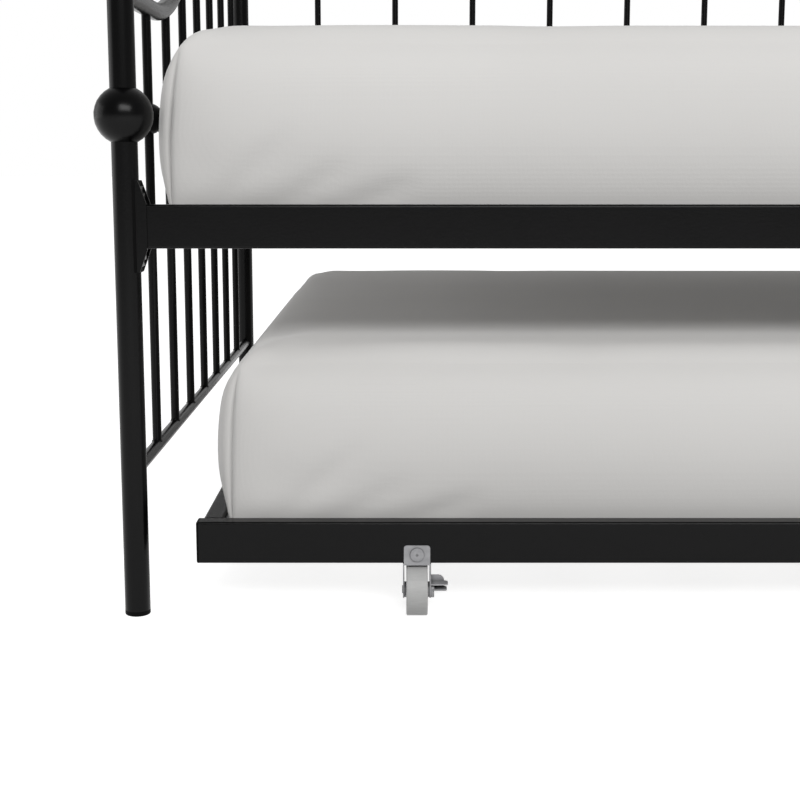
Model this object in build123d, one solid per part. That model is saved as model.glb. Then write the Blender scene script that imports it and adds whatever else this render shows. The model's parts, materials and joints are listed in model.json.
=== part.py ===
from build123d import *
import math
import os

# A steel daybed with a roll-out trundle stored under it, each with its mattress.
# Millimetres. The origin is on the floor at the middle of the footprint: +X runs along the bed,
# -Y is the front, where the trundle rolls out, and +Z is up.

# Daybed layout
post_span_x = 1990.0  # post axis to post axis, along the bed
post_span_y = 1029.0  # post axis to post axis, front to back
front_post_top = 640.0
rear_post_top = 900.0
collar_z = 487.0  # level of the row of ball collars
bottom_rail_z = 143.0
arm_front_z = 600.0
arm_rear_z = 850.0
arm_bend_y = 250.0
arm_bend_r = 380.0
arch_z = 875.0  # back top rail where it meets the posts
arch_apex = 170.0  # height of the arch's bend point above its ends
arch_bend_r = 5600.0

# Round tube
post_d = 25.0
arm_d = 19.0
end_rail_d = 13.4
spindle_d = 9.6
tube_wall = 1.2
spindle_wall = 0.8
end_spindles = 7
end_spindle_pitch = 125.5
back_spindles = 15

# Ball collars, finials and foot glides
post_ball_r = 28.0
spindle_ball_r = 16.0
finial_ball_r = 20.0
finial_neck_d = 13.0
finial_neck_h = 7.0
finial_base_h = 4.0
finial_sink = 2.0  # how far the ball sinks over its neck
glide_h = 5.0
glide_edge_r = 1.8
plug_depth = 20.0
plug_slack = 0.05

# Rectangular rails of the daybed and the trundle
rail_w = 20.0
rail_h = 41.5
rail_wall = 1.2
rail_corner_r = 2.5
inner_corner_r = 0.5  # least corner radius inside a tube
side_rail_z = 382.8
mattress_drop = 16.0  # how far a mattress sits below the top of its rails

# Side rail brackets: a U with a plastic saddle, bolted to the post above and below the rail
bracket_h = 87.0
bracket_edge_h = 44.0
bracket_t = 1.5
bracket_near = 10.7  # distances from the post axis
bracket_chamfer = 13.3
bracket_far = 21.0
bracket_web_h = 76.0
saddle_t = 1.0
bolt_offset = 26.5
bolt_d = 6.0
bolt_slack = 0.1
bolt_head_d = 10.5
bolt_head_h = 2.2
bolt_socket_d = 4.0
bolt_socket_h = 1.4
bolt_reach = 10.0
nut_d = 11.0
nut_inset = 3.0  # from the post's axis

# Slats and the angle ledges that carry them
slat_w = 30.0
slat_h = 12.0
slat_wall = 1.0
slat_corner_r = 2.0
slat_plug_r = 1.0
slat_pitch = 140.0
bed_slats = 14
trundle_slats = 13
slat_cap_t = 3.0
slat_cap_depth = 14.0
slat_end_gap = 1.5
ledge_w = 24.0
ledge_h = 10.0
ledge_t = 2.0
ledge_end_gap = 10.0  # from a ledge's end to the end of its side rail
trundle_ledge_gap = 0.5

# Mattresses
mattress_t = 184.0
bed_mattress_size = (1905.0, 990.0)
trundle_mattress_size = (1801.0, 990.0)
mattress_corner_r = 60.0
mattress_edge_r = 38.0
mattress_wall = 15.5  # quilted cover and foam round a light spring core

# Trundle frame
trundle_length = 1868.6
trundle_front_y = -525.0
trundle_depth = 1046.0
trundle_rail_z = 74.8
side_rail_inset = 5.0
end_plug_t = 2.3
end_plug_edge_r = 1.5
end_plug_inner_r = 1.3
corner_bracket_leg = 34.0
corner_bracket_h = 24.0
corner_bracket_t = 2.0
corner_bracket_rise = 1.0  # above the ledges
corner_bolt_place = 20.4  # from the corner along each leg
corner_bolt_d = 6.0
corner_bolt_head_d = 10.0
corner_bolt_head_h = 3.5
corner_bolt_reach = 10.0

# Casters
wheel_r = 25.5
wheel_w = 21.0
wheel_hub_r = 9.5
wheel_rim_inner_r = 20.0
wheel_web_t = 9.0
wheel_edge = 1.0
caster_x = 718.0
caster_set_back = 8.5  # axle behind the rail's outer face
axle_d = 6.0
running_gap = 0.05
fork_t = 1.4
fork_inner_w = 24.8
fork_plate_t = 1.5
fork_leg_r = 8.5
tab_w = 25.8
tab_h = 20.0
tab_corner_r = 3.0
bush_d = 15.5
rivet_head_d = 13.7
rivet_head_t = 1.6
rivet_edge_r = 0.6
rivet_shank_d = 5.0
rivet_bulb_d = 8.0
rivet_bulb_l = 4.0
rivet_dimple_d = 2.6
peen_d = 8.0
peen_t = 0.8

# Brake lever, turning on the front axles
lever_hub_r = 8.0
lever_hub_t = 3.15
lever_cap_t = 0.7  # closed end of the hub
pin_end_gap = 0.15
lever_reach = 30.5
lever_step = 1.0  # how much the lower blade is set in at both ends
lever_blade_r = 3.0
lever_blade_t = 1.5
lever_blade_front = 9.0
lever_blade_back = 4.0
lever_upper_z = 6.4
lever_lower_z = 0.8
lever_wall_top = 14.0
lever_wall_reach = 27.0
lever_wall_r = 6.0

# Derived places
post_x = post_span_x / 2
post_y = post_span_y / 2
slat_top_bed = side_rail_z + rail_h / 2 - mattress_drop
slat_top_trundle = trundle_rail_z + rail_h / 2 - mattress_drop
rail_end_x = post_x - post_d / 2 - saddle_t - bracket_t
trundle_mid_y = trundle_front_y + trundle_depth / 2
trundle_rear_y = trundle_front_y + trundle_depth
trundle_side_x = trundle_length / 2 - side_rail_inset - rail_w / 2
spindle_ys = [end_spindle_pitch * (i - (end_spindles - 1) / 2) for i in range(end_spindles)]
back_pitch = post_span_x / (back_spindles + 1)
spindle_xs = [back_pitch * (i - (back_spindles - 1) / 2) for i in range(back_spindles)]
bolt_zs = [side_rail_z - bolt_offset, side_rail_z + bolt_offset]
fork_outer = fork_inner_w / 2 + fork_t


# General shapes

def rod(d, start, end):
    """Solid round bar between two points."""
    line = Vector(*end) - Vector(*start)
    plane = Plane(origin=start, z_dir=line)
    return plane * Cylinder(d / 2, line.length, align=(Align.CENTER, Align.CENTER, Align.MIN))


def tube(d, wall, start, end):
    """Round tube between two points."""
    return rod(d, start, end) - rod(d - 2 * wall, start, end)


def block(x0, x1, y0, y1, z0, z1):
    """Box between two corners."""
    centre = Pos((x0 + x1) / 2, (y0 + y1) / 2, (z0 + z1) / 2)
    return centre * Box(abs(x1 - x0), abs(y1 - y0), abs(z1 - z0))


def bar(width, height, corner_r, start, end):
    """Solid bar of rounded rectangular section along a level line."""
    line = Vector(*end) - Vector(*start)
    plane = Plane(origin=start, x_dir=Vector(0, 0, 1).cross(line), z_dir=line)
    return extrude(plane * RectangleRounded(width, height, corner_r), line.length)


def box_tube(width, height, wall, corner_r, start, end):
    """Rectangular tube along a level line."""
    inner_r = max(corner_r - wall, inner_corner_r)
    outer = bar(width, height, corner_r, start, end)
    return outer - bar(width - 2 * wall, height - 2 * wall, inner_r, start, end)


def swept(d, path):
    """Solid round bar along a path."""
    start = Plane(origin=path @ 0, z_dir=path % 0)
    return sweep(start * Circle(d / 2), path=path)


def bent_tube(d, wall, path):
    """Round tube along a path."""
    return swept(d, path) - swept(d - 2 * wall, path)


def group(pieces):
    """Separate solids kept together as one sub-part."""
    return Compound([solid for piece in pieces for solid in piece.solids()])


def flip_x(shape):
    """Copy for the other end of the bed."""
    return mirror(shape, about=Plane.YZ)


def both_ends(pieces):
    """A group with its mirror copies at the other end."""
    return group(pieces + [flip_x(piece) for piece in pieces])


# Cutting tools shared by the end panels

def post_bar(y):
    """Solid bar of the left post's outside."""
    return rod(post_d, (-post_x, y, 0), (-post_x, y, rear_post_top))


def end_rail_bar(z):
    """Solid bar of a straight rail of the left end panel."""
    return rod(end_rail_d, (-post_x, -post_y, z), (-post_x, post_y, z))


def back_rail_bar():
    """Solid bar of the back panel's lower rail."""
    return rod(end_rail_d, (-post_x, post_y, collar_z), (post_x, post_y, collar_z))


def arm_path():
    """Centre line of the left arm: level, a rise towards the back, and level again."""
    points = [
        (-post_x, -post_y, arm_front_z),
        (-post_x, -arm_bend_y, arm_front_z),
        (-post_x, arm_bend_y, arm_rear_z),
        (-post_x, post_y, arm_rear_z),
    ]
    return FilletPolyline(*points, radius=arm_bend_r)


def arch_path():
    """Centre line of the back panel's top rail: one wide arc with short straight ends."""
    top = (0, post_y, arch_z + arch_apex)
    return FilletPolyline((-post_x, post_y, arch_z), top, (post_x, post_y, arch_z), radius=arch_bend_r)


# End panels and back panel

def post(y, top):
    """Left post, with the two bolt holes that face the side rail."""
    body = tube(post_d, tube_wall, (-post_x, y, glide_h), (-post_x, y, top))
    for z in bolt_zs:
        body -= rod(bolt_d + bolt_slack, (-post_x, y, z), (-post_x + post_d, y, z))
    return body


def end_rail(z):
    """Straight rail of the left end panel, coped to both posts."""
    inner = end_rail_d - 2 * tube_wall
    rail = end_rail_bar(z) - rod(inner, (-post_x, -post_y, z), (-post_x, post_y, z))
    return rail - post_bar(-post_y) - post_bar(post_y)


def arm_rail():
    """Bent top rail of the left end panel, coped to both posts."""
    return bent_tube(arm_d, tube_wall, arm_path()) - post_bar(-post_y) - post_bar(post_y)


def end_spindle_set():
    """Lower and upper spindles of the left end panel, coped to the rails."""
    arm = swept(arm_d, arm_path())
    bottom = end_rail_bar(bottom_rail_z)
    middle = end_rail_bar(collar_z)
    pieces = []
    for y in spindle_ys:
        lower = tube(spindle_d, spindle_wall, (-post_x, y, bottom_rail_z), (-post_x, y, collar_z))
        pieces.append(lower - bottom - middle)
        upper = tube(spindle_d, spindle_wall, (-post_x, y, collar_z), (-post_x, y, arm_rear_z))
        above = (upper - middle - arm).solids().sort_by(Axis.Z)
        pieces.append(above[0])
    return group(pieces)


def end_collar_set():
    """Ball collars where the left end panel's spindles cross the middle rail."""
    middle = end_rail_bar(collar_z)
    pieces = []
    for y in spindle_ys:
        spindle = rod(spindle_d, (-post_x, y, bottom_rail_z), (-post_x, y, arm_rear_z))
        pieces.append(Pos(-post_x, y, collar_z) * Sphere(spindle_ball_r) - middle - spindle)
    return group(pieces)


def post_collar(y):
    """Ball collar round the left post."""
    ball = Pos(-post_x, y, collar_z) * Sphere(post_ball_r)
    ball -= post_bar(y)
    ball -= end_rail_bar(collar_z)
    if y > 0:
        ball -= back_rail_bar()
    return ball


def finial(y, top):
    """Plug, base, neck and ball on top of the left post."""
    low = Align.CENTER, Align.CENTER, Align.MIN
    plug_d = post_d - 2 * tube_wall - 2 * plug_slack
    ball_z = top + finial_base_h + finial_neck_h + finial_ball_r - finial_sink
    shape = Pos(-post_x, y, top - plug_depth) * Cylinder(plug_d / 2, plug_depth, align=low)
    shape += Pos(-post_x, y, top) * Cylinder(post_d / 2, finial_base_h, align=low)
    neck_h = finial_neck_h + finial_ball_r / 2
    shape += Pos(-post_x, y, top + finial_base_h) * Cylinder(finial_neck_d / 2, neck_h, align=low)
    shape += Pos(-post_x, y, ball_z) * Sphere(finial_ball_r)
    return shape


def foot_glide(y):
    """Moulded foot with a plug that fills the bottom of the left post."""
    low = Align.CENTER, Align.CENTER, Align.MIN
    plug_d = post_d - 2 * tube_wall - 2 * plug_slack
    foot = Pos(-post_x, y, 0) * Cylinder(post_d / 2, glide_h, align=low)
    foot = fillet(foot.edges().sort_by(Axis.Z)[0], glide_edge_r)
    return foot + Pos(-post_x, y, glide_h) * Cylinder(plug_d / 2, plug_depth, align=low)


def back_lower_rail():
    """Lower rail of the back panel, coped to the rear posts."""
    ends = (-post_x, post_y, collar_z), (post_x, post_y, collar_z)
    rail = back_rail_bar() - rod(end_rail_d - 2 * tube_wall, *ends)
    return rail - post_bar(post_y) - flip_x(post_bar(post_y))


def back_top_rail():
    """Arched top rail of the back panel, coped to the rear posts."""
    rail = bent_tube(arm_d, tube_wall, arch_path())
    return rail - post_bar(post_y) - flip_x(post_bar(post_y))


def arch_centre_z(x):
    """Height of the arch's centre line at a distance along the bed."""
    slope = math.atan(arch_apex / post_x)
    centre_z = arch_z + arch_apex - arch_bend_r / math.cos(slope)
    return centre_z + math.sqrt(arch_bend_r**2 - x**2)


def arch_bar_at(x):
    """Short straight bar along the arch's tangent, as wide as the arch where a spindle meets it."""
    middle = Vector(x, post_y, arch_centre_z(x))
    slope = -x / math.sqrt(arch_bend_r**2 - x**2)
    along = Vector(1, 0, slope).normalized() * arm_d
    return rod(arm_d, middle - along, middle + along)


def back_spindle_set():
    """Spindles of the back panel, from the lower rail up to the arch."""
    lower = back_rail_bar()
    pieces = []
    for x in spindle_xs:
        top = (x, post_y, arch_centre_z(x))
        spindle = tube(spindle_d, spindle_wall, (x, post_y, collar_z), top)
        pieces.append(spindle - lower - arch_bar_at(x))
    return group(pieces)


def back_collar_set():
    """Ball collars at the foot of the back panel's spindles."""
    lower = back_rail_bar()
    pieces = []
    for x in spindle_xs:
        spindle = rod(spindle_d, (x, post_y, collar_z), (x, post_y, arch_z))
        pieces.append(Pos(x, post_y, collar_z) * Sphere(spindle_ball_r) - lower - spindle)
    return group(pieces)


# Side rails and their brackets

def side_rail(y):
    """Rectangular side rail between the brackets of two posts."""
    ends = (-rail_end_x, y, side_rail_z), (rail_end_x, y, side_rail_z)
    return box_tube(rail_w, rail_h, rail_wall, rail_corner_r, *ends)


def rail_bracket(y):
    """U bracket on the left end of a side rail: a web and two chamfered flanges."""
    outline = Polyline(
        (bracket_near, -bracket_h / 2),
        (bracket_chamfer, -bracket_h / 2),
        (bracket_far, -bracket_edge_h / 2),
        (bracket_far, bracket_edge_h / 2),
        (bracket_chamfer, bracket_h / 2),
        (bracket_near, bracket_h / 2),
        close=True,
    )
    face = Plane(origin=(-post_x, y, side_rail_z), x_dir=(1, 0, 0), z_dir=(0, -1, 0)) * make_face(outline)
    outside = rail_w / 2 + bracket_t
    flange = extrude(face, outside) - extrude(face, rail_w / 2)
    flanges = [flange, mirror(flange, about=Plane.XZ.offset(-y))]
    web_x = -rail_end_x - bracket_t
    z0 = side_rail_z - bracket_web_h / 2
    shape = block(web_x, -rail_end_x, y - outside, y + outside, z0, z0 + bracket_web_h)
    for piece in flanges:
        shape += piece
    for z in bolt_zs:
        shape -= rod(bolt_d + bolt_slack, (-post_x, y, z), (-post_x + post_d, y, z))
    return shape


def bracket_saddle(y):
    """Moulded saddle that seats the flat bracket on the round post."""
    z0 = side_rail_z - bracket_h / 2
    web_x = -rail_end_x - bracket_t
    shape = block(-post_x, web_x, y - rail_w / 2, y + rail_w / 2, z0, z0 + bracket_h)
    shape -= post_bar(y)
    for z in bolt_zs:
        shape -= rod(bolt_d + bolt_slack, (-post_x, y, z), (-post_x + post_d, y, z))
    return shape


def rail_bolt(y, z):
    """Button head socket bolt through bracket, saddle and post wall."""
    x = -rail_end_x
    shape = rod(bolt_d, (x - bolt_reach, y, z), (x, y, z))
    shape += rod(bolt_head_d, (x, y, z), (x + bolt_head_h, y, z))
    top = x + bolt_head_h
    return shape - rod(bolt_socket_d, (top - bolt_socket_h, y, z), (top, y, z))


def post_nut(y, z):
    """Nut fixed inside the left post, shaped to the bore."""
    bore = rod(post_d - 2 * tube_wall, (-post_x, y, z - nut_d), (-post_x, y, z + nut_d))
    shape = rod(nut_d, (-post_x + nut_inset, y, z), (-post_x + post_d / 2, y, z)) & bore
    return shape - rod(bolt_d + bolt_slack, (-post_x, y, z), (-post_x + post_d, y, z))


# Slats and ledges

def ledge(length, face_y, inward, top_z):
    """Angle along a rail's inner face; inward is +1 or -1 along Y."""
    half = length / 2
    shape = block(-half, half, face_y, face_y + inward * ledge_w, top_z - ledge_t, top_z)
    return shape + block(-half, half, face_y, face_y + inward * ledge_t, top_z - ledge_h, top_z)


def slat(x, y0, y1, top_z):
    """Rectangular tube slat from front to back."""
    z = top_z - slat_h / 2
    ends = (x, y0 + slat_cap_t, z), (x, y1 - slat_cap_t, z)
    return box_tube(slat_w, slat_h, slat_wall, slat_corner_r, *ends)


def slat_cap(x, y, inward, top_z):
    """Moulded cap that plugs one end of a slat."""
    z = top_z - slat_h / 2
    inner_w = slat_w - 2 * slat_wall - 2 * plug_slack
    inner_h = slat_h - 2 * slat_wall - 2 * plug_slack
    face = bar(slat_w, slat_h, slat_corner_r, (x, y, z), (x, y + inward * slat_cap_t, z))
    seat = y + inward * slat_cap_t
    plug_end = seat + inward * slat_cap_depth
    return face + bar(inner_w, inner_h, slat_plug_r, (x, seat, z), (x, plug_end, z))


def slat_deck(count, y0, y1, top_z):
    """Slats and their caps, as two groups."""
    xs = [slat_pitch * (i - (count - 1) / 2) for i in range(count)]
    slats = [slat(x, y0, y1, top_z) for x in xs]
    caps = [slat_cap(x, y0, 1, top_z) for x in xs] + [slat_cap(x, y1, -1, top_z) for x in xs]
    return group(slats), group(caps)


def padded_block(length, width, height, y, base_z, corner_r, edge_r):
    """Block with round corners and round upper and lower edges."""
    shape = block(-length / 2, length / 2, y - width / 2, y + width / 2, base_z, base_z + height)
    shape = fillet(shape.edges().filter_by(Axis.Z), corner_r)
    rims = shape.edges().group_by(Axis.Z)
    return fillet(rims[0] + rims[-1], edge_r)


def mattress(size, y, base_z):
    """Closed form of a mattress: a thick padded wall round its core."""
    length, width = size
    t = mattress_wall
    corner_r = mattress_corner_r
    edge_r = mattress_edge_r
    outer = padded_block(length, width, mattress_t, y, base_z, corner_r, edge_r)
    core_size = (length - 2 * t, width - 2 * t, mattress_t - 2 * t)
    return outer - padded_block(*core_size, y, base_z + t, corner_r - t, edge_r - t)


# Trundle frame

def corner_bolt_holes():
    """Bars that drill the bolt holes of the trundle's four corners."""
    d = corner_bolt_d + bolt_slack
    z = corner_bracket_z()
    holes = []
    for side_y, inward in corner_ends():
        x = corner_x() + corner_bolt_place
        holes.append(rod(d, (x, side_y, z), (x, side_y - inward * rail_w / 2, z)))
        y = side_y + inward * corner_bolt_place
        holes.append(rod(d, (corner_x(), y, z), (corner_x() - rail_w / 2, y, z)))
    return holes


def corner_x():
    """Inner face of the left side rail."""
    return -trundle_side_x + rail_w / 2


def corner_ends():
    """Inner face and inward direction of the front and rear rails."""
    return [(trundle_front_y + rail_w, 1), (trundle_rear_y - rail_w, -1)]


def corner_bracket_z():
    """Middle height of the corner brackets, above the ledges."""
    return slat_top_trundle - slat_h + corner_bracket_rise + corner_bracket_h / 2


def trundle_long_rail(y, face_y):
    """Front or rear rail of the trundle; face_y is its outer face, where the caster rivets enter."""
    end = trundle_length / 2 - end_plug_t
    ends = (-end, y, trundle_rail_z), (end, y, trundle_rail_z)
    shape = box_tube(rail_w, rail_h, rail_wall, rail_corner_r, *ends)
    inward = 1 if face_y < y else -1
    for x in (-caster_x, caster_x):
        z = rivet_z()
        shape -= rod(rivet_shank_d, (x, face_y, z), (x, face_y + inward * rail_w / 2, z))
    for hole in corner_bolt_holes():
        shape -= hole
        shape -= flip_x(hole)
    return shape


def trundle_side_rail():
    """Left end rail of the trundle, between the long rails."""
    ys = trundle_front_y + rail_w, trundle_rear_y - rail_w
    ends = (-trundle_side_x, ys[0], trundle_rail_z), (-trundle_side_x, ys[1], trundle_rail_z)
    shape = box_tube(rail_w, rail_h, rail_wall, rail_corner_r, *ends)
    for hole in corner_bolt_holes():
        shape -= hole
    return shape


def trundle_end_plug(y):
    """Moulded plug in the left end of a long rail."""
    outer_x = -trundle_length / 2
    seat_x = outer_x + end_plug_t
    z = trundle_rail_z
    face = bar(rail_w, rail_h, rail_corner_r, (outer_x, y, z), (seat_x, y, z))
    face = fillet(face.edges().group_by(Axis.X)[0], end_plug_edge_r)
    inner_w = rail_w - 2 * rail_wall - 2 * plug_slack
    inner_h = rail_h - 2 * rail_wall - 2 * plug_slack
    plug_end = seat_x + plug_depth
    return face + bar(inner_w, inner_h, end_plug_inner_r, (seat_x, y, z), (plug_end, y, z))


def corner_bracket(side_y, inward):
    """Bent angle inside one left corner of the trundle."""
    x = corner_x()
    z0 = corner_bracket_z() - corner_bracket_h / 2
    z1 = z0 + corner_bracket_h
    leg = corner_bracket_leg
    t = corner_bracket_t
    shape = block(x, x + leg, side_y, side_y + inward * t, z0, z1)
    shape += block(x, x + t, side_y, side_y + inward * leg, z0, z1)
    for hole in corner_bolt_holes():
        shape -= hole
    d = corner_bolt_d + bolt_slack
    z = corner_bracket_z()
    bolt_x = x + corner_bolt_place
    bolt_y = side_y + inward * corner_bolt_place
    shape -= rod(d, (bolt_x, side_y, z), (bolt_x, side_y + inward * 2 * t, z))
    return shape - rod(d, (x, bolt_y, z), (x + 2 * t, bolt_y, z))


def corner_bolt(head, direction):
    """Bolt whose head seats on the bracket at a point and whose shank runs along a direction."""
    seat = Vector(*head)
    along = Vector(*direction)
    shape = rod(corner_bolt_d, seat, seat + along * corner_bolt_reach)
    shape += rod(corner_bolt_head_d, seat, seat - along * corner_bolt_head_h)
    tip = seat - along * corner_bolt_head_h
    return shape - rod(corner_bolt_d / 2, tip, tip + along * corner_bolt_head_h / 2)


def corner_bolt_set():
    """Bolts of the two left corners of the trundle."""
    z = corner_bracket_z()
    t = corner_bracket_t
    reach = corner_bolt_place
    pieces = []
    for side_y, inward in corner_ends():
        pieces.append(corner_bolt((corner_x() + reach, side_y + inward * t, z), (0, -inward, 0)))
        pieces.append(corner_bolt((corner_x() + t, side_y + inward * reach, z), (-1, 0, 0)))
    return pieces


# Casters, modelled about the front left axle and placed by mirroring

def axle_point():
    """Middle of the front left axle."""
    return Pos(-caster_x, trundle_front_y + caster_set_back, wheel_r)


def rivet_z():
    """Height of the caster rivets."""
    return trundle_rail_z - rail_h / 2 + tab_h / 2 - fork_plate_t / 2


def caster_fork():
    """Pressed fork: a tab on the rail's face, a plate under the rail and two legs."""
    plate_z = trundle_rail_z - rail_h / 2 - wheel_r
    front = -caster_set_back - fork_plate_t
    back = rail_w - caster_set_back
    leg_face = Polygon((-fork_leg_r, 0), (fork_leg_r, 0), (back, plate_z), (front, plate_z), align=None)
    leg_face += Circle(fork_leg_r)
    side = Plane(origin=(fork_inner_w / 2, 0, 0), x_dir=(0, 1, 0), z_dir=(1, 0, 0))
    leg = extrude(side * leg_face, fork_t)
    plate = block(-fork_outer, fork_outer, front, back, plate_z - fork_plate_t, plate_z)
    tab_face = Plane(origin=(0, front + fork_plate_t, 0), x_dir=(1, 0, 0), z_dir=(0, -1, 0))
    tab_mid = plate_z - fork_plate_t + tab_h / 2
    tab = extrude(tab_face * Pos(0, tab_mid) * Rectangle(tab_w, tab_h), fork_plate_t)
    top_corners = tab.edges().filter_by(Axis.Y).group_by(Axis.Z)[-1]
    tab = fillet(top_corners, tab_corner_r)
    shape = plate + tab + leg + mirror(leg, about=Plane.YZ)
    shape -= rod(axle_d, (-fork_outer, 0, 0), (fork_outer, 0, 0))
    z = rivet_z() - wheel_r
    shape -= rod(rivet_shank_d, (0, front, z), (0, front + fork_plate_t, z))
    return shape


def caster_rivet():
    """Blind rivet through the fork's tab and the rail's wall."""
    seat = -caster_set_back - fork_plate_t
    wall = -caster_set_back + rail_wall
    z = rivet_z() - wheel_r
    head = rod(rivet_head_d, (0, seat, z), (0, seat - rivet_head_t, z))
    head = fillet(head.edges().sort_by(Axis.Y)[0], rivet_edge_r)
    head -= rod(rivet_dimple_d, (0, seat - rivet_head_t, z), (0, seat - rivet_head_t / 2, z))
    shank = rod(rivet_shank_d, (0, seat, z), (0, wall + rivet_bulb_l, z))
    return head + shank + rod(rivet_bulb_d, (0, wall, z), (0, wall + rivet_bulb_l, z))


def wheel():
    """Moulded wheel with a hub, a thinner web and a rim."""
    half = wheel_w / 2
    bore_r = axle_d / 2 + running_gap
    outline = Polyline(
        (bore_r, -half),
        (wheel_hub_r, -half),
        (wheel_hub_r, -wheel_web_t / 2),
        (wheel_rim_inner_r, -wheel_web_t / 2),
        (wheel_rim_inner_r, -half),
        (wheel_r - wheel_edge, -half),
        (wheel_r, -half + wheel_edge),
        (wheel_r, half - wheel_edge),
        (wheel_r - wheel_edge, half),
        (wheel_rim_inner_r, half),
        (wheel_rim_inner_r, wheel_web_t / 2),
        (wheel_hub_r, wheel_web_t / 2),
        (wheel_hub_r, half),
        (bore_r, half),
        close=True,
    )
    turned = revolve(make_face(outline), axis=Axis.Y)
    return Rot(0, 0, -90) * turned


def axle(with_lever):
    """Axle pin with a peened head at each end; a braked one runs on into the lever's hub."""
    far = fork_outer
    shape = rod(axle_d, (-fork_outer, 0, 0), (fork_outer, 0, 0))
    shape += rod(peen_d, (-fork_outer - peen_t, 0, 0), (-fork_outer, 0, 0))
    if with_lever:
        end = far + running_gap + lever_hub_t - lever_cap_t - pin_end_gap
        return shape + rod(axle_d, (far, 0, 0), (end, 0, 0))
    return shape + rod(peen_d, (far, 0, 0), (far + peen_t, 0, 0))


def bushes():
    """Spacer bushes between the wheel and the fork's legs."""
    inner = wheel_w / 2 + running_gap
    outer = fork_inner_w / 2
    one = rod(bush_d, (inner, 0, 0), (outer, 0, 0)) - rod(axle_d, (inner, 0, 0), (outer, 0, 0))
    return [one, mirror(one, about=Plane.YZ)]


def brake_lever():
    """Cam hub with two foot blades and an upright wall behind them."""
    x0 = fork_outer + running_gap
    hub_end = x0 + lever_hub_t
    shape = rod(2 * lever_hub_r, (x0, 0, 0), (hub_end, 0, 0))
    front = -lever_blade_front
    back = lever_blade_back
    top = lever_upper_z + lever_blade_t
    upper = block(x0, lever_reach, front, back, lever_upper_z, top)
    upper = fillet(upper.edges().filter_by(Axis.Z).group_by(Axis.X)[-1], lever_blade_r)
    low_top = lever_lower_z + lever_blade_t
    lower = block(hub_end - lever_step, lever_reach - lever_step, front, back, lever_lower_z, low_top)
    lower = fillet(lower.edges().filter_by(Axis.Z).group_by(Axis.X)[-1], lever_blade_r)
    wall = block(x0, lever_wall_reach, back - lever_blade_t, back, lever_lower_z, lever_wall_top)
    rim = wall.edges().filter_by(Axis.Y).group_by(Axis.Z)[-1].sort_by(Axis.X)[-1]
    wall = fillet(rim, lever_wall_r)
    shape = shape + upper + lower + wall
    bore = axle_d + 2 * running_gap
    return shape - rod(bore, (x0, 0, 0), (hub_end - lever_cap_t, 0, 0))


def at_corner(shape, front, left):
    """Place a piece modelled about the axle at one of the four casters."""
    placed = axle_point() * shape
    if not left:
        placed = flip_x(placed)
    if not front:
        placed = mirror(placed, about=Plane.XZ.offset(-trundle_mid_y))
    return placed


# Assembly

def daybed_nodes():
    """Everything fixed to the daybed."""
    deck_y = post_y - rail_w / 2
    ledge_length = 2 * (rail_end_x - ledge_end_gap)
    slats, caps = slat_deck(bed_slats, -deck_y + slat_end_gap, deck_y - slat_end_gap, slat_top_bed)
    ys = -post_y, post_y
    tops = front_post_top, rear_post_top
    nodes = {
        "post_front_left": post(-post_y, front_post_top),
        "post_front_right": flip_x(post(-post_y, front_post_top)),
        "post_rear_left": post(post_y, rear_post_top),
        "post_rear_right": flip_x(post(post_y, rear_post_top)),
        "foot_glides": both_ends([foot_glide(y) for y in ys]),
        "post_finials": both_ends([finial(y, top) for y, top in zip(ys, tops)]),
        "post_ball_collars": both_ends([post_collar(y) for y in ys]),
        "back_lower_rail": back_lower_rail(),
        "back_top_rail": back_top_rail(),
        "back_spindles": back_spindle_set(),
        "back_spindle_collars": back_collar_set(),
        "side_rail_front": side_rail(-post_y),
        "side_rail_rear": side_rail(post_y),
        "rail_brackets_front": both_ends([rail_bracket(-post_y)]),
        "rail_brackets_rear": both_ends([rail_bracket(post_y)]),
        "bracket_saddles": both_ends([bracket_saddle(y) for y in ys]),
        "rail_bolts": both_ends([rail_bolt(y, z) for y in ys for z in bolt_zs]),
        "post_nuts": both_ends([post_nut(y, z) for y in ys for z in bolt_zs]),
        "slat_ledge_front": ledge(ledge_length, -deck_y, 1, slat_top_bed - slat_h),
        "slat_ledge_rear": ledge(ledge_length, deck_y, -1, slat_top_bed - slat_h),
        "bed_slats": slats,
        "bed_slat_caps": caps,
        "daybed_mattress": mattress(bed_mattress_size, 0, slat_top_bed),
    }
    left_end = {
        "end_bottom_rail": end_rail(bottom_rail_z),
        "end_middle_rail": end_rail(collar_z),
        "arm_rail": arm_rail(),
        "end_spindles": end_spindle_set(),
        "end_spindle_collars": end_collar_set(),
    }
    for name, shape in left_end.items():
        nodes[name + "_left"] = shape
        nodes[name + "_right"] = group([flip_x(solid) for solid in shape.solids()])
    return nodes


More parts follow.
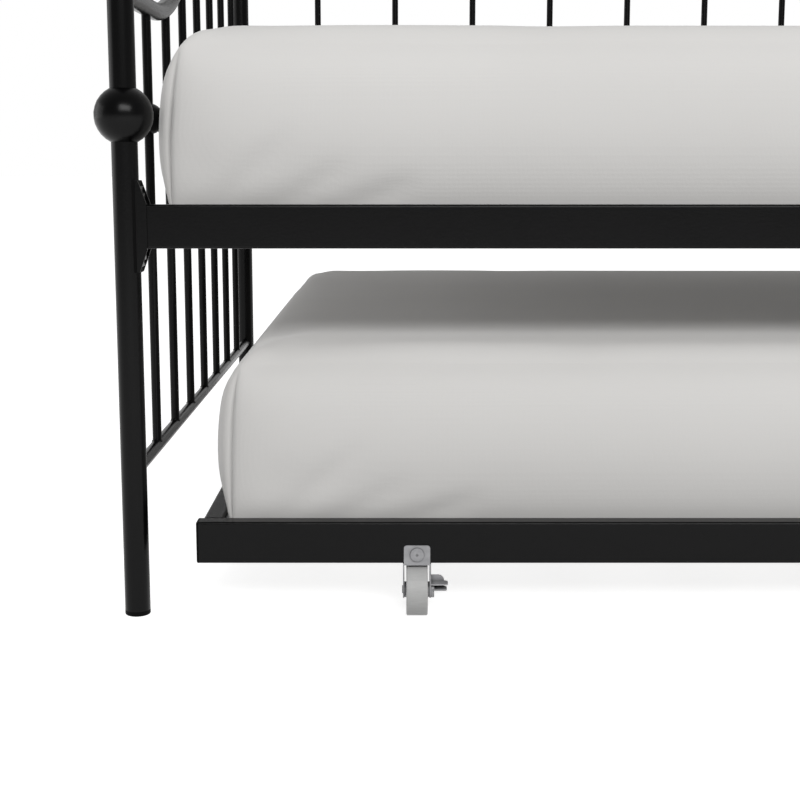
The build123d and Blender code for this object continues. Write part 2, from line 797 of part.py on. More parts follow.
def trundle_nodes():
    """Everything fixed to the trundle frame."""
    front_mid = trundle_front_y + rail_w / 2
    rear_mid = trundle_rear_y - rail_w / 2
    (front_face, _), (rear_face, _) = corner_ends()
    deck = slat_deck(trundle_slats, front_face + slat_end_gap, rear_face - slat_end_gap, slat_top_trundle)
    ledge_length = -2 * (corner_x() + trundle_ledge_gap)
    ledge_top = slat_top_trundle - slat_h
    side = trundle_side_rail()
    return {
        "trundle_front_rail": trundle_long_rail(front_mid, trundle_front_y),
        "trundle_rear_rail": trundle_long_rail(rear_mid, trundle_rear_y),
        "trundle_side_rail_left": side,
        "trundle_side_rail_right": flip_x(side),
        "trundle_end_plugs": both_ends([trundle_end_plug(y) for y in (front_mid, rear_mid)]),
        "trundle_corner_brackets": both_ends([corner_bracket(*end) for end in corner_ends()]),
        "trundle_corner_bolts": both_ends(corner_bolt_set()),
        "trundle_ledge_front": ledge(ledge_length, front_face, 1, ledge_top),
        "trundle_ledge_rear": ledge(ledge_length, rear_face, -1, ledge_top),
        "trundle_slats": deck[0],
        "trundle_slat_caps": deck[1],
        "trundle_mattress": mattress(trundle_mattress_size, trundle_mid_y, slat_top_trundle),
    }


def caster_nodes():
    """Forks, wheels, axles, bushes, rivets and brake levers of the four casters."""
    nodes = {}
    axles = []
    spacers = []
    rivets = []
    for front in (True, False):
        for left in (True, False):
            place = ("front" if front else "rear") + ("_left" if left else "_right")
            nodes["caster_fork_" + place] = at_corner(caster_fork(), front, left)
            nodes["wheel_" + place] = at_corner(wheel(), front, left)
            axles.append(at_corner(axle(with_lever=front), front, left))
            spacers += [at_corner(bush, front, left) for bush in bushes()]
            rivets.append(at_corner(caster_rivet(), front, left))
            if front:
                side = "left" if left else "right"
                nodes["brake_lever_" + side] = at_corner(brake_lever(), front, left)
    nodes["caster_axles"] = group(axles)
    nodes["caster_bushes"] = group(spacers)
    nodes["caster_rivets"] = group(rivets)
    return nodes


os.makedirs("parts", exist_ok=True)
all_nodes = {**daybed_nodes(), **trundle_nodes(), **caster_nodes()}
for name, shape in all_nodes.items():
    export_step(shape, f"parts/{name}.step")
print(len(all_nodes), "nodes")
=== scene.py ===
import itertools
import json
import math
import random

import bpy
import numpy as np
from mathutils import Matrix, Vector


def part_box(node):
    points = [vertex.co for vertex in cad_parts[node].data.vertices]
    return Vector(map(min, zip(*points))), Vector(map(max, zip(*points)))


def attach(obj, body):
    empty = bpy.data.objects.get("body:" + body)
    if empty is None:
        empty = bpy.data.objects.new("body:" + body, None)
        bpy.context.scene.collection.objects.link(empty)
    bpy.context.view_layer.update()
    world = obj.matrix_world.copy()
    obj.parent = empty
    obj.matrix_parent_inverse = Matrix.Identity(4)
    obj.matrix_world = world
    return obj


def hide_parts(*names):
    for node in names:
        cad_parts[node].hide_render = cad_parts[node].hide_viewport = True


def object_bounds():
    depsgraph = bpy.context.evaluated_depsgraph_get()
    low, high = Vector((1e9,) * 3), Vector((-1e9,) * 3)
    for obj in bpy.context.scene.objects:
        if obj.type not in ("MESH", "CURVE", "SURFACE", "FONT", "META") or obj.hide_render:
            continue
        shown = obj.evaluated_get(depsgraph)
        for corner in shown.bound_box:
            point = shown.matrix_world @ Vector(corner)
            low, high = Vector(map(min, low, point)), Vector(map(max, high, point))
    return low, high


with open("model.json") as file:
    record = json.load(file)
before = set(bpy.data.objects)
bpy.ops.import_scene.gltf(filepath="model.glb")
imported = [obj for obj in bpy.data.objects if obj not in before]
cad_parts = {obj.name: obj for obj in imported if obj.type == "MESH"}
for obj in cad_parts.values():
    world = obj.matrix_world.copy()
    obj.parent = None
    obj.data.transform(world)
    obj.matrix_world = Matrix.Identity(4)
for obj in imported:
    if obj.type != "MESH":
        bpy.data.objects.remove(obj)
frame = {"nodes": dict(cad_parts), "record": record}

# Metres throughout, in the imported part's own frame: +X along the bed, -Y the front, +Z up.
cad_low, cad_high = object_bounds()
nodes = frame["nodes"]
slot_of = {part["node"]: part["material_slot"] for part in frame["record"]["subparts"]}


# ---------------------------------------------------------------- shader helpers

def new_material(name):
    """A material with an empty tree, its Principled shader and its tree."""
    material = bpy.data.materials.new(name)
    material.use_nodes = True
    shader = material.node_tree.nodes["Principled BSDF"]
    return material, shader, material.node_tree


def coordinates(tree, scale=(1, 1, 1)):
    """Object coordinates in metres, stretched by a scale."""
    source = tree.nodes.new("ShaderNodeTexCoord")
    mapping = tree.nodes.new("ShaderNodeMapping")
    mapping.inputs["Scale"].default_value = scale
    tree.links.new(source.outputs["Object"], mapping.inputs["Vector"])
    return mapping.outputs["Vector"]


def noise(tree, vector, scale, detail=2.0, roughness=0.5):
    """Noise value at a scale in features per metre."""
    node = tree.nodes.new("ShaderNodeTexNoise")
    node.inputs["Scale"].default_value = scale
    node.inputs["Detail"].default_value = detail
    node.inputs["Roughness"].default_value = roughness
    tree.links.new(vector, node.inputs["Vector"])
    return node.outputs["Fac"]


def ramp(tree, value, low, high, colour_low, colour_high):
    """Blend of two colours as a value goes from low to high."""
    node = tree.nodes.new("ShaderNodeValToRGB")
    node.color_ramp.elements[0].position = low
    node.color_ramp.elements[1].position = high
    node.color_ramp.elements[0].color = (*colour_low, 1)
    node.color_ramp.elements[1].color = (*colour_high, 1)
    tree.links.new(value, node.inputs["Fac"])
    return node.outputs["Color"]


def spread(tree, value, low, high):
    """A value between 0 and 1 mapped to the range low to high."""
    node = tree.nodes.new("ShaderNodeMapRange")
    node.inputs["To Min"].default_value = low
    node.inputs["To Max"].default_value = high
    tree.links.new(value, node.inputs["Value"])
    return node.outputs["Result"]


def maths(tree, operation, a, b):
    """One arithmetic step on two sockets or numbers."""
    node = tree.nodes.new("ShaderNodeMath")
    node.operation = operation
    for socket, value in zip(node.inputs, (a, b)):
        if isinstance(value, (int, float)):
            socket.default_value = value
        else:
            tree.links.new(value, socket)
    return node.outputs["Value"]


def painted_crease_shade(tree, colour, reach):
    """Painted shade: a colour darkened by ambient occlusion where surfaces meet, within a reach in
    metres.
    """
    node = tree.nodes.new("ShaderNodeAmbientOcclusion")
    node.inputs["Distance"].default_value = reach
    node.samples = 8
    tree.links.new(colour, node.inputs["Color"])
    return node.outputs["Color"]


def bump(tree, shader, height, distance, strength=1.0):
    """Relief of a given height in metres on the shader's normal."""
    node = tree.nodes.new("ShaderNodeBump")
    node.inputs["Distance"].default_value = distance
    node.inputs["Strength"].default_value = strength
    tree.links.new(height, node.inputs["Height"])
    tree.links.new(node.outputs["Normal"], shader.inputs["Normal"])


# ---------------------------------------------------------------- materials

def black_paint():
    """Satin powder coat: near black, faint orange peel, slight sheen changes."""
    material, shader, tree = new_material("black_paint")
    place = coordinates(tree)
    cloud = noise(tree, place, 9, 3)
    peel = noise(tree, place, 420, 2)
    colour = ramp(tree, cloud, 0.3, 0.7, (0.0011, 0.0011, 0.0012), (0.0017, 0.0017, 0.0018))
    tree.links.new(colour, shader.inputs["Base Color"])
    tree.links.new(spread(tree, cloud, 0.21, 0.29), shader.inputs["Roughness"])
    shader.inputs["Specular IOR Level"].default_value = 0.13
    bump(tree, shader, peel, 0.00012, 0.35)
    return material


def black_plastic():
    """Moulded black plastic with a fine spark-eroded grain."""
    material, shader, tree = new_material("black_plastic")
    place = coordinates(tree)
    grain = noise(tree, place, 1500, 3)
    cloud = noise(tree, place, 40)
    colour = ramp(tree, cloud, 0.3, 0.7, (0.0012, 0.0012, 0.0012), (0.0022, 0.0022, 0.0023))
    tree.links.new(colour, shader.inputs["Base Color"])
    tree.links.new(spread(tree, grain, 0.5, 0.66), shader.inputs["Roughness"])
    shader.inputs["Specular IOR Level"].default_value = 0.06
    bump(tree, shader, grain, 0.00008, 0.5)
    return material


def plated_steel(name, light, dark, metallic):
    """Dull plated steel: cloudy zinc colour, rolling marks, and painted shade darkening its creases and
    gaps.
    """
    material, shader, tree = new_material(name)
    place = coordinates(tree)
    marks = noise(tree, coordinates(tree, (1, 1, 0.08)), 1400, 3)
    cloud = noise(tree, place, 160, 4, 0.6)
    # painted shade: the base colour is darkened by ambient occlusion in creases, under the tab and round
    # the rivets
    colour = painted_crease_shade(tree, ramp(tree, cloud, 0.32, 0.7, dark, light), 0.005)
    tree.links.new(colour, shader.inputs["Base Color"])
    tree.links.new(spread(tree, marks, 0.38, 0.56), shader.inputs["Roughness"])
    shader.inputs["Metallic"].default_value = metallic
    bump(tree, shader, marks, 0.00005, 0.4)
    return material


def wheel_plastic():
    """Light grey moulded wheel with a faint grain and scuffs on the tread."""
    material, shader, tree = new_material("wheel_plastic")
    place = coordinates(tree)
    scuff = noise(tree, coordinates(tree, (0.25, 1, 1)), 420, 4, 0.62)
    grain = noise(tree, place, 1300, 2)
    colour = ramp(tree, scuff, 0.3, 0.75, (0.415, 0.415, 0.41), (0.465, 0.465, 0.46))
    tree.links.new(colour, shader.inputs["Base Color"])
    tree.links.new(spread(tree, grain, 0.46, 0.6), shader.inputs["Roughness"])
    bump(tree, shader, maths(tree, "ADD", scuff, grain), 0.00008, 0.5)
    return material


def mattress_fabric():
    """Smooth warm grey stretch cover: fine knit relief, soft tone changes and sheen."""
    material, shader, tree = new_material("mattress_fabric")
    place = coordinates(tree)
    waves = []
    for axis in ("X", "Y", "Z"):
        wave = tree.nodes.new("ShaderNodeTexWave")
        wave.bands_direction = axis
        wave.inputs["Scale"].default_value = 260
        wave.inputs["Distortion"].default_value = 0.6
        wave.inputs["Detail"].default_value = 1.0
        tree.links.new(place, wave.inputs["Vector"])
        waves.append(wave.outputs["Fac"])
    knit = maths(tree, "ADD", maths(tree, "ADD", waves[0], waves[1]), waves[2])
    slub = noise(tree, coordinates(tree, (1, 1, 3)), 900, 3)
    cloud = noise(tree, place, 2.2, 3)
    colour = ramp(tree, cloud, 0.3, 0.7, (0.655, 0.645, 0.63), (0.70, 0.69, 0.675))
    tree.links.new(colour, shader.inputs["Base Color"])
    tree.links.new(spread(tree, slub, 0.78, 0.92), shader.inputs["Roughness"])
    shader.inputs["Specular IOR Level"].default_value = 0.2
    shader.inputs["Sheen Weight"].default_value = 0.25
    shader.inputs["Sheen Roughness"].default_value = 0.5
    bump(tree, shader, maths(tree, "ADD", maths(tree, "MULTIPLY", knit, 0.3), slub), 0.00025, 0.35)
    return material


def floor_material():
    """Plain pale floor that glows, so that it renders nearly white."""
    material, shader, _ = new_material("floor")
    shader.inputs["Base Color"].default_value = (0.8, 0.8, 0.8, 1)
    shader.inputs["Roughness"].default_value = 0.9
    shader.inputs["Specular IOR Level"].default_value = 0.1
    shader.inputs["Emission Color"].default_value = (1, 1, 1, 1)
    shader.inputs["Emission Strength"].default_value = 0.74
    return material


finishes = {
    "black_paint": black_paint(),
    "black_plastic": black_plastic(),
    "caster_steel": plated_steel("caster_steel", (0.38, 0.38, 0.39), (0.29, 0.29, 0.30), 0.2),
    "zinc_steel": plated_steel("zinc_steel", (0.34, 0.34, 0.35), (0.25, 0.25, 0.26), 0.3),
    "wheel_plastic": wheel_plastic(),
    "mattress_fabric": mattress_fabric(),
}


def paint_frame():
    """Give every CAD node the finish of its slot."""
    for name, node in nodes.items():
        node.data.materials.clear()
        node.data.materials.append(finishes[slot_of[name]])


def new_object(name, vertices, faces, slot, body):
    """A smooth-shaded mesh piece that rides on a body."""
    mesh = bpy.data.meshes.new(name)
    mesh.from_pydata([tuple(v) for v in vertices], [], faces)
    mesh.polygons.foreach_set("use_smooth", [True] * len(mesh.polygons))
    mesh.materials.append(finishes[slot])
    mesh.update()
    piece = bpy.data.objects.new(name, mesh)
    bpy.context.scene.collection.objects.link(piece)
    if body:
        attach(piece, body)
    return piece


# ---------------------------------------------------------------- mattresses

corner_r = 0.033  # how far the rounding of the top edges reaches in
base_r = 0.010  # the same at the bottom edges
top_r = 0.056  # how far down the side the top rounding starts
bottom_r = 0.020
corner_power = 5.0  # squareness of the vertical corners, 2 being round
cover_growth = 0.007  # how far the cover lies outside the plain form, in plan
rest_drop = 0.001  # how much lower the cover lies before it swells
side_bulge = 0.020  # how far each side stands out between its seams
bulge_rise = 0.028  # distance from a seam in which the bulge builds up
bulge_start = 0.05  # height at which the sides begin to stand out, as a share of the thickness
bulge_peak = 0.45  # height of the fullest level, as a share of the thickness
coarse_step = 0.027  # cell of the simulated cover
fine_step = 0.009  # cell of the finished cover
seam_lines = (0.0, 0.003, 0.006, 0.010, 0.015, 0.022, 0.030)  # grid lines beside a corner seam
cloth_frames = 20
cloth_pressure = 1.2
seam_pin = 0.9  # how firmly the corner seams are held, the base being 1
swell_cap = 0.0055  # the furthest that the simulation may move the cover
relax_rounds = 4

fold_reaches = (0.045, 0.105, 0.19)  # distance of each fold's foot from its corner
fold_rises = (0.9, 0.65, 0.45)  # slope of each fold
fold_foot = 0.012  # height of a fold's foot above the base
fold_length = (0.055, 0.085)
fold_width = (0.007, 0.010)
fold_depth = 0.0036
seam_depths = (0.0045, 0.0016)  # stitched groove, and the wide hollow round it
seam_widths = (0.0040, 0.022)
seam_fade = 0.22  # share of the height in which the seam fades out below the top
on_line = 1e-6


def even_lines(low, high, step):
    """Evenly spaced grid lines from low to high."""
    return np.linspace(low, high, max(2, round((high - low) / step)) + 1)


def seam_spaced_lines(low, high, step):
    """Grid lines that gather towards both ends, where the corner seams are."""
    inner = even_lines(low + corner_r, high - corner_r, step)
    near = np.array(seam_lines)
    return np.concatenate([low + near, inner, high - near[::-1]])


class Cover:
    """The surface of a box as one closed quad mesh on grid lines, rounded into a mattress."""

    def __init__(self, xs, ys, zs):
        self.lines = (xs, ys, zs)
        self.shape = (len(xs), len(ys), len(zs))
        self.index = {}
        last = [n - 1 for n in self.shape]
        for key in itertools.product(*(range(n) for n in self.shape)):
            if any(i in (0, end) for i, end in zip(key, last)):
                self.index[key] = len(self.index)
        self.keys = np.array(list(self.index))
        self.flat = np.stack([self.lines[a][self.keys[:, a]] for a in range(3)], axis=1)
        self.faces = self.quads(last)

    def quads(self, last):
        """Faces of the six sides, wound outwards."""
        found = []
        for axis in range(3):
            a, b = (axis + 1) % 3, (axis + 2) % 3
            for side in (0, last[axis]):
                for i in range(last[a]):
                    for j in range(last[b]):
                        ring = []
                        for da, db in ((0, 0), (1, 0), (1, 1), (0, 1)):
                            key = [0, 0, 0]
                            key[axis], key[a], key[b] = side, i + da, j + db
                            ring.append(self.index[tuple(key)])
                        found.append(ring if side else ring[::-1])
        return found

    def rounded(self):
        """Vertices with elliptical edges: wide at the top, tighter at the corners and bottom."""
        low = self.flat.min(axis=0)
        high = self.flat.max(axis=0)
        level = ((self.flat[:, 2] - low[2]) / (high[2] - low[2]))[:, None]
        level = level * level * (3 - 2 * level)
        plan = np.full((1, 2), base_r) + (corner_r - base_r) * level
        reach_low = np.hstack([plan, np.full_like(level, bottom_r)])
        reach_high = np.hstack([plan, np.full_like(level, top_r)])
        core = np.clip(self.flat, low + reach_low, high - reach_high)
        away = self.flat - core
        reach = np.where(away < 0, reach_low, reach_high)
        scaled = away / reach
        across = (np.abs(scaled[:, :2]) ** corner_power).sum(axis=1) ** (1 / corner_power)
        length = np.hypot(across, scaled[:, 2])[:, None]
        shape = core + reach * scaled / np.maximum(length, 1e-9)
        shape[:, 2] -= rest_drop * level[:, 0]
        shape[:, :2] += self.bulge(scaled[:, :2], low, high)
        return shape

    def bulge(self, scaled, low, high):
        """Outward offset of the four sides: none at the corner seams, full between them."""
        height = (self.flat[:, 2] - low[2]) / (high[2] - low[2])
        lift = np.log(0.5) / np.log(bulge_peak)
        full = np.sin(np.pi * np.clip((height - bulge_start) / (1 - bulge_start), 0, 1) ** lift)
        from_seam = np.minimum(self.flat - low, high - self.flat)[:, [1, 0]]
        build = 1 - np.exp(-from_seam / bulge_rise)
        return side_bulge * np.sign(scaled) * np.minimum(np.abs(scaled), 1) ** 2 * build * full[:, None]


def cover_normals(points, faces):
    """Vertex normals of a quad mesh."""
    faces = np.array(faces)
    a, b, c, d = (points[faces[:, k]] for k in range(4))
    normal = np.cross(c - a, d - b)
    total = np.zeros_like(points)
    for k in range(4):
        np.add.at(total, faces[:, k], normal)
    return total / np.maximum(np.linalg.norm(total, axis=1, keepdims=True), 1e-12)


def swell(cover, pressure):
    """How far each point moves, up to swell_cap, as cloth under the filling's pressure."""
    start = cover.rounded()
    mesh = bpy.data.meshes.new("cover")
    mesh.from_pydata([tuple(v) for v in start], [], cover.faces)
    cloth_piece = bpy.data.objects.new("cover", mesh)
    bpy.context.scene.collection.objects.link(cloth_piece)
    low, high = cover.flat.min(axis=0), cover.flat.max(axis=0)
    pins = cloth_piece.vertex_groups.new(name="pins")
    at_end = (cover.flat[:, :2] <= low[:2]) | (cover.flat[:, :2] >= high[:2])
    on_seam = at_end.all(axis=1)
    on_base = cover.flat[:, 2] <= low[2] + on_line
    for i in np.nonzero(on_base)[0]:
        pins.add([int(i)], 1.0, "REPLACE")
    for i in np.nonzero(on_seam & ~on_base)[0]:
        pins.add([int(i)], seam_pin, "REPLACE")
    cloth = cloth_piece.modifiers.new("Cloth", "CLOTH")
    cloth.settings.quality = 5
    cloth.settings.mass = 0.15
    cloth.settings.tension_stiffness = 18
    cloth.settings.compression_stiffness = 12
    cloth.settings.shear_stiffness = 8
    cloth.settings.bending_stiffness = 1.5
    cloth.settings.use_pressure = True
    cloth.settings.uniform_pressure_force = pressure
    cloth.settings.vertex_group_mass = "pins"
    cloth.settings.effector_weights.gravity = 0
    scene = bpy.context.scene
    for step in range(1, cloth_frames + 1):
        scene.frame_set(step)
    shown = cloth_piece.evaluated_get(bpy.context.evaluated_depsgraph_get()).data
    moved = np.zeros(len(shown.vertices) * 3, np.float32)
    shown.vertices.foreach_get("co", moved)
    bpy.data.objects.remove(cloth_piece)
    scene.frame_set(1)
    shift = moved.reshape(-1, 3).astype(float) - start
    length = np.linalg.norm(shift, axis=1, keepdims=True)
    return shift / (1 + (length / swell_cap) ** 3) ** (1 / 3)


def cubic_weights(t):
    """Catmull-Rom weights of four neighbours."""
    return [
        0.5 * (-t + 2 * t**2 - t**3),
        0.5 * (2 - 5 * t**2 + 3 * t**3),
        0.5 * (t + 4 * t**2 - 3 * t**3),
        0.5 * (-(t**2) + t**3),
    ]


def carried(coarse, shift, fine):
    """The coarse cover's shift, read smoothly at every vertex of the fine cover."""
    field = np.zeros((*coarse.shape, 3))
    field[tuple(coarse.keys.T)] = shift
    result = np.zeros_like(fine.flat)
    done = np.zeros(len(fine.flat), bool)
    for axis in range(3):
        a, b = (axis + 1) % 3, (axis + 2) % 3
        for side, line in ((0, coarse.lines[axis][0]), (coarse.shape[axis] - 1, coarse.lines[axis][-1])):
            here = ~done & (np.abs(fine.flat[:, axis] - line) < on_line)
            plane = np.take(field, side, axis=axis)
            if a > b:
                plane = plane.swapaxes(0, 1)
            points = fine.flat[here]
            total = np.zeros((len(points), 3))
            cells = []
            for across in (a, b):
                lines = coarse.lines[across]
                at = (points[:, across] - lines[0]) / (lines[1] - lines[0])
                base = np.clip(np.floor(at).astype(int), 0, len(lines) - 2)
                cells.append((base, cubic_weights(at - base), len(lines)))
            for i in range(4):
                for j in range(4):
                    row = np.clip(cells[0][0] + i - 1, 0, cells[0][2] - 1)
                    column = np.clip(cells[1][0] + j - 1, 0, cells[1][2] - 1)
                    weight = cells[0][1][i] * cells[1][1][j]
                    total += plane[row, column] * weight[:, None]
            result[here] = total
            done |= here
    return result


def relax(points, faces, rounds, keep):
    """Even out small dents; keep holds 1 where a point must stay."""
    faces = np.array(faces)
    pairs = np.concatenate([faces[:, [k, (k + 1) % 4]] for k in range(4)])
    count = np.zeros(len(points))
    np.add.at(count, pairs[:, 0], 1)
    for _ in range(rounds):
        total = np.zeros_like(points)
        np.add.at(total, pairs[:, 0], points[pairs[:, 1]])
        average = total / count[:, None]
        points = points + (average - points) * (0.5 * (1 - keep))[:, None]
    return points


def crease(points, start, end, width, depth):
    """Depth of one soft fold along a line, fading towards its ends."""
    start, end = np.array(start), np.array(end)
    run = end - start
    t = np.clip(((points - start) @ run) / (run @ run), 0, 1)
    off = np.linalg.norm(points - (start + t[:, None] * run), axis=1)
    return depth * np.exp(-((off / width) ** 2)) * np.sin(np.pi * np.clip(t * 0.92 + 0.04, 0, 1)) ** 0.7


def folds(points, low, high, seed):
    """Diagonal tension folds that fan out from the bottom corners on each side."""
    dice = random.Random(seed)
    total = np.zeros(len(points))
    corners = itertools.product((0, 1), repeat=3)
    for at_x, at_y, along in corners:
        corner = np.array([(low[0], high[0])[at_x], (low[1], high[1])[at_y], low[2]])
        inward = np.zeros(3)
        inward[along] = -1 if (at_x, at_y)[along] else 1
        for reach, rise in zip(fold_reaches, fold_rises):
            foot = corner + inward * reach * dice.uniform(0.9, 1.15) + np.array([0, 0, fold_foot])
            length = dice.uniform(*fold_length)
            tip = foot + (inward + np.array([0, 0, rise + dice.uniform(-0.1, 0.1)])) * length
            width = dice.uniform(*fold_width)
            total += crease(points, foot, tip, width, fold_depth * dice.uniform(0.5, 1.0))
    return total


def seam_depth(cover, low, high):
    """Depth of the stitched vertical seam at each corner, fading out over the top edge."""
    nearest = np.minimum(cover.flat - low, high - cover.flat)
    along = np.hypot(nearest[:, 0], nearest[:, 1])
    height = (cover.flat[:, 2] - low[2]) / (high[2] - low[2])
    fade = np.clip((1.0 - height) / seam_fade, 0, 1)
    on_face = nearest[:, 2] < on_line
    fade = np.where(on_face, 0, fade)
    groove, hollow = (d * np.exp(-((along / w) ** 2)) for d, w in zip(seam_depths, seam_widths))
    return (groove + hollow) * fade


def mattress(name, node, body, seed):
    """A padded mattress that stands for a CAD node."""
    low, high = (np.array(corner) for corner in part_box(node))
    low[:2] -= cover_growth
    high[:2] += cover_growth
    coarse = Cover(*(even_lines(low[a], high[a], coarse_step) for a in range(3)))
    fine_lines = [seam_spaced_lines(low[a], high[a], fine_step) for a in range(2)]
    fine = Cover(*fine_lines, even_lines(low[2], high[2], fine_step))
    points = fine.rounded()
    points = points + carried(coarse, swell(coarse, cloth_pressure), fine)
    base = (fine.flat[:, 2] <= low[2] + on_line).astype(float)
    points = relax(points, fine.faces, relax_rounds, base)
    normals = cover_normals(points, fine.faces)
    points = points - normals * folds(fine.flat, low, high, seed)[:, None]
    points = points - normals * seam_depth(fine, low, high)[:, None]
    points[:, 2] = np.maximum(points[:, 2], low[2])
    piece = new_object(name, points, fine.faces, "mattress_fabric", body)
    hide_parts(node)
    return piece


# ---------------------------------------------------------------- weld beads

bead_r = 0.0011
bead_turns = 20
bead_sides = 8
foot_level = 0.3  # the lower spindles' own points lie below this height
spindle_gap = 0.03  # points further apart than this along Y belong to different spindles


def centre_of(node):
    """Middle of a CAD node's box."""
    low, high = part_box(node)
    return [(a + b) / 2 for a, b in zip(low, high)]


def saddle_ring(x, y, rail_z, rail_r, spindle_r, up):
    """Centre line of the weld round an upright where it meets a rail that runs along Y."""
    ring = []
    for turn in range(bead_turns):
        angle = 2 * math.pi * turn / bead_turns
        dx = spindle_r * math.cos(angle)
        dy = spindle_r * math.sin(angle)
        dz = up * math.sqrt(max(rail_r**2 - dx**2, 0))
        ring.append(Vector((x + dx, y + dy, rail_z + dz)))
    return ring


def add_bead(vertices, faces, ring, dice):
    """Lumpy closed tube along a ring, added to a growing mesh."""
    first = len(vertices)
    middle = sum(ring, Vector()) / len(ring)
    for i, point in enumerate(ring):
        outward = point - middle
        outward.z = 0
        outward.normalize()
        size = bead_r * dice.uniform(0.85, 1.15)
        for side in range(bead_sides):
            angle = 2 * math.pi * side / bead_sides
            offset = outward * math.cos(angle) + Vector((0, 0, 1)) * math.sin(angle)
            vertices.append(point + offset * size)
    for i in range(len(ring)):
        for side in range(bead_sides):
            a = first + i * bead_sides + side
            b = first + i * bead_sides + (side + 1) % bead_sides
            c = first + ((i + 1) % len(ring)) * bead_sides + (side + 1) % bead_sides
            d = first + ((i + 1) % len(ring)) * bead_sides + side
            faces.append((a, b, c, d))


def spindle_places(node):
    """Where the spindles of one end stand along Y, from their own solids."""
    ys = sorted({round(v.co.y, 4) for v in nodes[node].data.vertices if v.co.z < foot_level})
    groups = []
    for y in ys:
        if groups and y - groups[-1][-1] < spindle_gap:
            groups[-1].append(y)
        else:
            groups.append([y])
    return [(g[0] + g[-1]) / 2 for g in groups], (groups[0][-1] - groups[0][0]) / 2


def end_welds(side):
    """Weld beads at the feet of one end panel's spindles."""
    dice = random.Random("welds " + side)
    low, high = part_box("end_bottom_rail_" + side)
    rail_r = (high[2] - low[2]) / 2
    x, _, z = centre_of("end_bottom_rail_" + side)
    places, spindle_r = spindle_places("end_spindles_" + side)
    vertices, faces = [], []
    for y in places:
        add_bead(vertices, faces, saddle_ring(x, y, z, rail_r, spindle_r, 1), dice)
    return new_object("spindle_welds_" + side, vertices, faces, "black_paint", "daybed")


# ---------------------------------------------------------------- stage, light and camera

floor_half = 30.0  # half the floor's side

# Strength of the surroundings' light, graded by how far a direction points along Y.
world_front = 0.27
world_back = 0.72
front_y = -0.6
back_y = 0.9

aim_height = 0.35  # height that the key and the left fill point at
key_beside = 0.3
key_reach = 4.5
key_elevation = 31.0
key_size = (3.4, 1.5)
key_power = 166.0
side_reach = 2.6  # how far left of the bed the left fill stands
side_behind = 0.1
side_height = 0.9
side_size = (2.4, 1.4)
side_power = 14.0
under_gap = 0.004  # how far the lamp hangs below the slats
under_share = 0.9  # its share of the slats' extent along Y
under_power = 0.5


def add_floor():
    """Wide pale floor at the object's foot. It doesn't light the object."""
    z = cad_low[2]
    signs = ((-1, -1), (1, -1), (1, 1), (-1, 1))
    corners = [(x * floor_half, y * floor_half, z) for x, y in signs]
    mesh = bpy.data.meshes.new("floor")
    mesh.from_pydata(corners, [], [(0, 1, 2, 3)])
    mesh.materials.append(floor_material())
    floor = bpy.data.objects.new("floor", mesh)
    floor.visible_diffuse = False
    bpy.context.scene.collection.objects.link(floor)


def add_world():
    """A white background for the camera. What lights the bed is stronger behind than in front."""
    world = bpy.data.worlds.new("studio")
    bpy.context.scene.world = world
    world.use_nodes = True
    tree = world.node_tree
    tree.nodes.clear()
    out = tree.nodes.new("ShaderNodeOutputWorld")
    mix = tree.nodes.new("ShaderNodeMixShader")
    path = tree.nodes.new("ShaderNodeLightPath")
    seen = tree.nodes.new("ShaderNodeBackground")
    lit = tree.nodes.new("ShaderNodeBackground")
    direction = tree.nodes.new("ShaderNodeTexCoord")
    split = tree.nodes.new("ShaderNodeSeparateXYZ")
    tree.links.new(direction.outputs["Generated"], split.inputs["Vector"])
    grade = tree.nodes.new("ShaderNodeMapRange")
    grade.inputs["From Min"].default_value = front_y
    grade.inputs["From Max"].default_value = back_y
    grade.inputs["To Min"].default_value = world_front
    grade.inputs["To Max"].default_value = world_back
    tree.links.new(split.outputs["Y"], grade.inputs["Value"])
    tree.links.new(grade.outputs["Result"], lit.inputs["Strength"])
    tree.links.new(path.outputs["Is Camera Ray"], mix.inputs["Fac"])
    tree.links.new(lit.outputs["Background"], mix.inputs[1])
    tree.links.new(seen.outputs["Background"], mix.inputs[2])
    tree.links.new(mix.outputs["Shader"], out.inputs["Surface"])
    lit.inputs["Color"].default_value = (1, 1, 1, 1)
    seen.inputs["Color"].default_value = (1, 1, 1, 1)
    seen.inputs["Strength"].default_value = 1.0


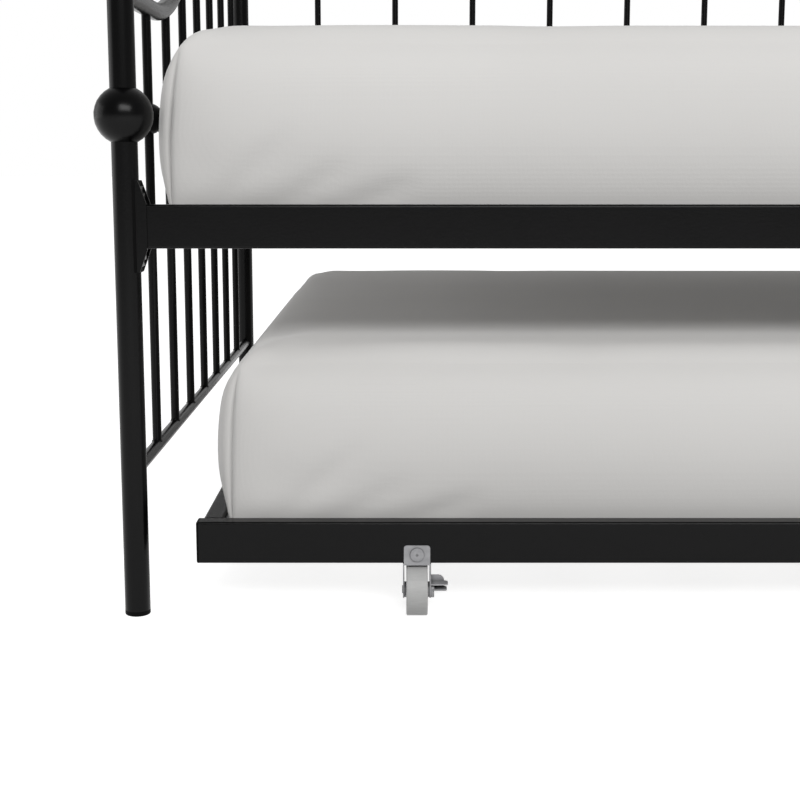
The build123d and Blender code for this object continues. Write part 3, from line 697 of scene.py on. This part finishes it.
def add_area(name, place, aim, size, power):
    """Soft rectangular studio light."""
    light = bpy.data.lights.new(name, "AREA")
    light.shape = "RECTANGLE"
    light.size, light.size_y = size
    light.energy = power
    lamp = bpy.data.objects.new(name, light)
    lamp.location = place
    lamp.rotation_euler = (Vector(aim) - Vector(place)).to_track_quat("-Z", "Y").to_euler()
    bpy.context.scene.collection.objects.link(lamp)


def add_lamps():
    """Soft key high in front, weak fill from the left, and a faint lamp under the daybed's slats."""
    aim = Vector(((cad_low[0] + cad_high[0]) / 2, cad_low[1], aim_height))
    rise = math.radians(key_elevation)
    key_place = aim + Vector((key_beside, -key_reach * math.cos(rise), key_reach * math.sin(rise)))
    add_area("key", key_place, aim, key_size, key_power)
    left = Vector((cad_low[0] - side_reach, side_behind, side_height))
    add_area("left_fill", left, Vector((cad_low[0], 0.0, aim_height)), side_size, side_power)
    deck_low, deck_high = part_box("bed_slats")
    x, y, _ = centre_of("bed_slats")
    under = Vector((x, y, deck_low[2] - under_gap))
    under_size = (deck_high[0] - deck_low[0], under_share * (deck_high[1] - deck_low[1]))
    add_area("under_fill", under, under - Vector((0, 0, 1)), under_size, under_power)


# The camera stands in front of the left end, a little above the side rail, and looks slightly down.
camera_beside = 0.2661  # right of the front left post's axis
camera_before = 1.4181  # in front of that axis
camera_height = 0.4493
camera_pitch = 8.996
camera_lens = 66.6
camera_shift = (-0.0074, -0.0125)
camera_far = 100  # furthest distance that the camera sees


def add_camera():
    """Camera placed from the front left post."""
    x, y, _ = centre_of("post_front_left")
    data = bpy.data.cameras.new("camera")
    data.lens = camera_lens
    data.sensor_width = 36.0
    data.shift_x, data.shift_y = camera_shift
    data.clip_end = camera_far
    camera = bpy.data.objects.new("camera", data)
    camera.location = (x + camera_beside, y - camera_before, cad_low[2] + camera_height)
    camera.rotation_euler = (math.radians(90 - camera_pitch), 0, 0)
    bpy.context.scene.collection.objects.link(camera)
    bpy.context.scene.camera = camera


# ---------------------------------------------------------------- assembly

bpy.context.scene.view_settings.view_transform = "Standard"
paint_frame()
mattress("daybed_mattress_cover", "daybed_mattress", "daybed", 11)
mattress("trundle_mattress_cover", "trundle_mattress", "trundle", 23)
end_welds("left")
end_welds("right")
add_floor()
add_world()
add_lamps()
add_camera()
